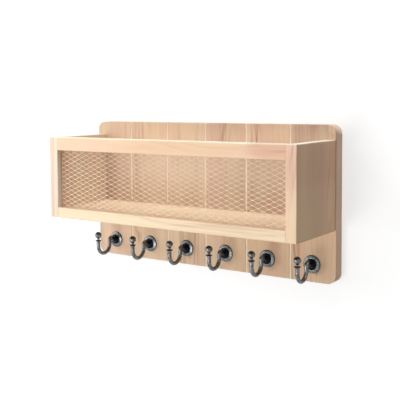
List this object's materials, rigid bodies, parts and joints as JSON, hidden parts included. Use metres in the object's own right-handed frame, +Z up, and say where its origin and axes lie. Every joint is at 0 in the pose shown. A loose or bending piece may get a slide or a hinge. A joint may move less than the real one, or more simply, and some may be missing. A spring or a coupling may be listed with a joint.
{
  "type": "wall key holder shelf",
  "caption": "Wooden wall shelf with an open-topped box, an expanded metal mesh front and a row of ball-tipped metal key hooks on its back board.",
  "frame": {"origin": "centre of the back board's rear face, which lies on the wall", "axes": "+X to the right as one faces the shelf, along its length; +Y into the wall; +Z up"},
  "size_m": [0.33, 0.104, 0.17],
  "materials": {
    "board_wood": "planed pale softwood, vertical grain, matt lacquer",
    "panel_wood": "planed pale softwood, lighter than the board, matt lacquer",
    "mesh_metal": "thin cream paint on expanded steel",
    "dowel_wood": "fluted beech, hidden in the joints",
    "screw_steel": "zinc plated",
    "hook_metal": "dark gunmetal plating, lightly rubbed on the edges"
  },
  "bodies": {
    "root": {"back_board": "board_wood", "left_side_panel": "panel_wood", "right_side_panel": "panel_wood", "floor_panel": "panel_wood", "top_rail": "panel_wood", "mesh_panel": "mesh_metal", "corner_dowels": "dowel_wood", "box_screws": "screw_steel", "hook_rosette_1": "hook_metal", "hook_rosette_2": "hook_metal", "hook_rosette_3": "hook_metal", "hook_rosette_4": "hook_metal", "hook_rosette_5": "hook_metal", "hook_rosette_6": "hook_metal", "hook_arm_1": "hook_metal", "hook_arm_2": "hook_metal", "hook_arm_3": "hook_metal", "hook_arm_4": "hook_metal", "hook_arm_5": "hook_metal", "hook_arm_6": "hook_metal"}
  },
  "joints": []
}
